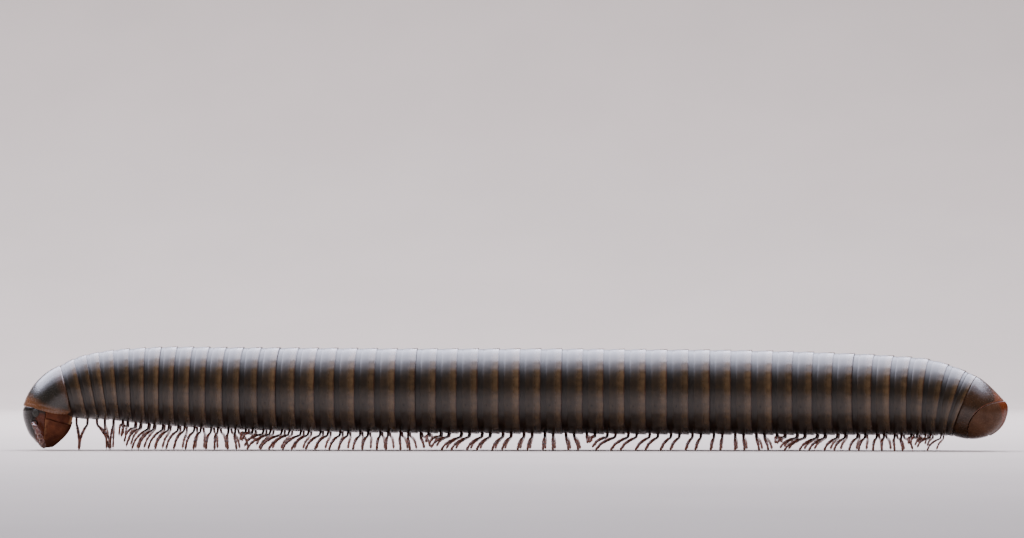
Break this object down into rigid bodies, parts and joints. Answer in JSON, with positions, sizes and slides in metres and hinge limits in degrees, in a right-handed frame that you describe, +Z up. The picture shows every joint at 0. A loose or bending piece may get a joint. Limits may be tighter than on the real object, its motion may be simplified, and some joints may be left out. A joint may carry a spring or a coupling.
{
  "type": "millipede",
  "caption": "Life-size walking millipede: a long round-backed ringed body on rows of short legs, with a head tucked under a neck shield and a tail closed by two valves.",
  "frame": {"origin": "on the floor under the middle of the body's length and width", "axes": "+Z up; the head points to -X and the tail to +X; the animal's left side faces -Y"},
  "size_m": [0.1499, 0.0168, 0.0159],
  "materials": {
    "ring_chitin": "glossy dark brown rings, paler toward each rear edge",
    "collum_chitin": "glossy dark grey with a rust front margin",
    "face_chitin": "glossy blackish brown",
    "cheek_chitin": "smooth red-brown",
    "eye": "black, beaded",
    "antenna_chitin": "red-brown, finely haired",
    "tail_chitin": "glossy brown with a rust rim",
    "valve_chitin": "satin grey-brown with dark red lips"
  },
  "bodies": {
    "root": {"head": "face_chitin", "mandible_left": "cheek_chitin", "mandible_right": "cheek_chitin", "gnathochilarium": "cheek_chitin", "eye_left": "eye", "eye_right": "eye", "antenna_left": "antenna_chitin", "antenna_right": "antenna_chitin", "collum": "collum_chitin", "trunk_1": "ring_chitin", "trunk_2": "ring_chitin", "trunk_3": "ring_chitin", "trunk_4": "ring_chitin", "trunk_5": "ring_chitin", "trunk_6": "ring_chitin", "trunk_7": "ring_chitin", "telson": "tail_chitin", "anal_valve_left": "valve_chitin", "anal_valve_right": "valve_chitin", "hypoproct": "valve_chitin"}
  },
  "joints": []
}
